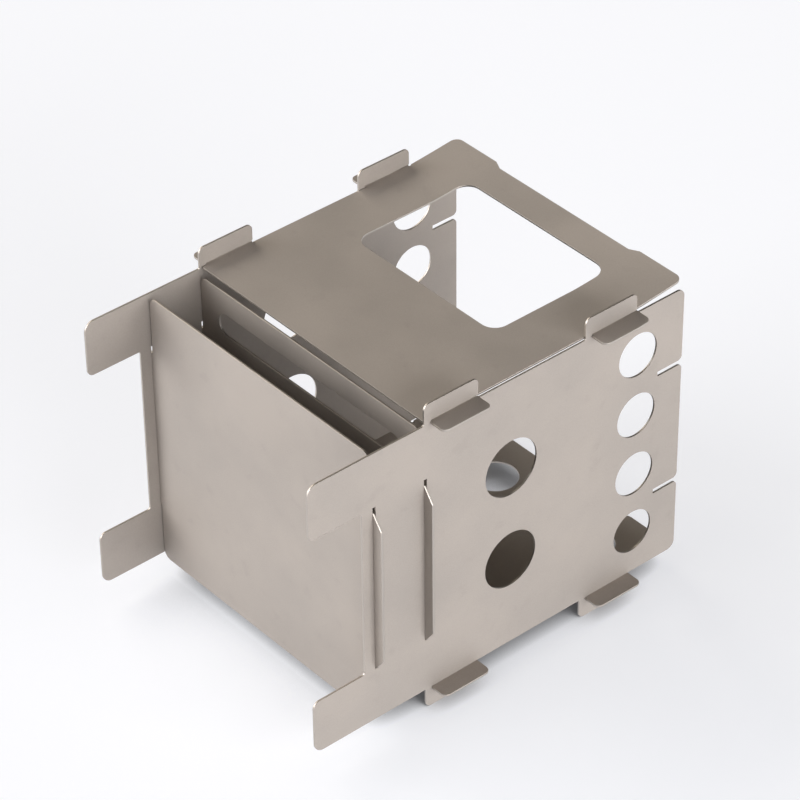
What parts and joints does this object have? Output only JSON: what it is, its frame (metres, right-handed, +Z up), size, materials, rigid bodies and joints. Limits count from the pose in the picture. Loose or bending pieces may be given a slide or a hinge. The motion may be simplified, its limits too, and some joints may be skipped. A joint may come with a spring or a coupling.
{
  "type": "folding wood stove",
  "caption": "Flat-pack camping wood stove: thin metal sheets hooked into an open box on feet, with a feed window, round air holes, an ash plate and a slotted grate; a pot rests on top.",
  "frame": {"origin": "centre of the overall box at ground level, under the feet", "axes": "+Z up, from the feet to the pot rest; -Y is the front with the feed window; +X is the right-hand side panel seen from the front"},
  "size_m": [0.1042, 0.1022, 0.1306],
  "materials": {
    "titanium_sheet": "satin"
  },
  "bodies": {
    "frame": {"side_panel_right": "titanium_sheet", "side_panel_left": "titanium_sheet", "ash_plate": "titanium_sheet", "fire_grate": "titanium_sheet"},
    "front": {"front_panel": "titanium_sheet"},
    "back": {"back_panel": "titanium_sheet"}
  },
  "joints": [
    {"name": "front_slide", "type": "slide", "parent": "frame", "child": "front", "axis": [0, 0, 1], "range_m": [0, 0.0164]},
    {"name": "back_slide", "type": "slide", "parent": "frame", "child": "back", "axis": [0, 0, 1], "range_m": [0, 0.0164]}
  ]
}
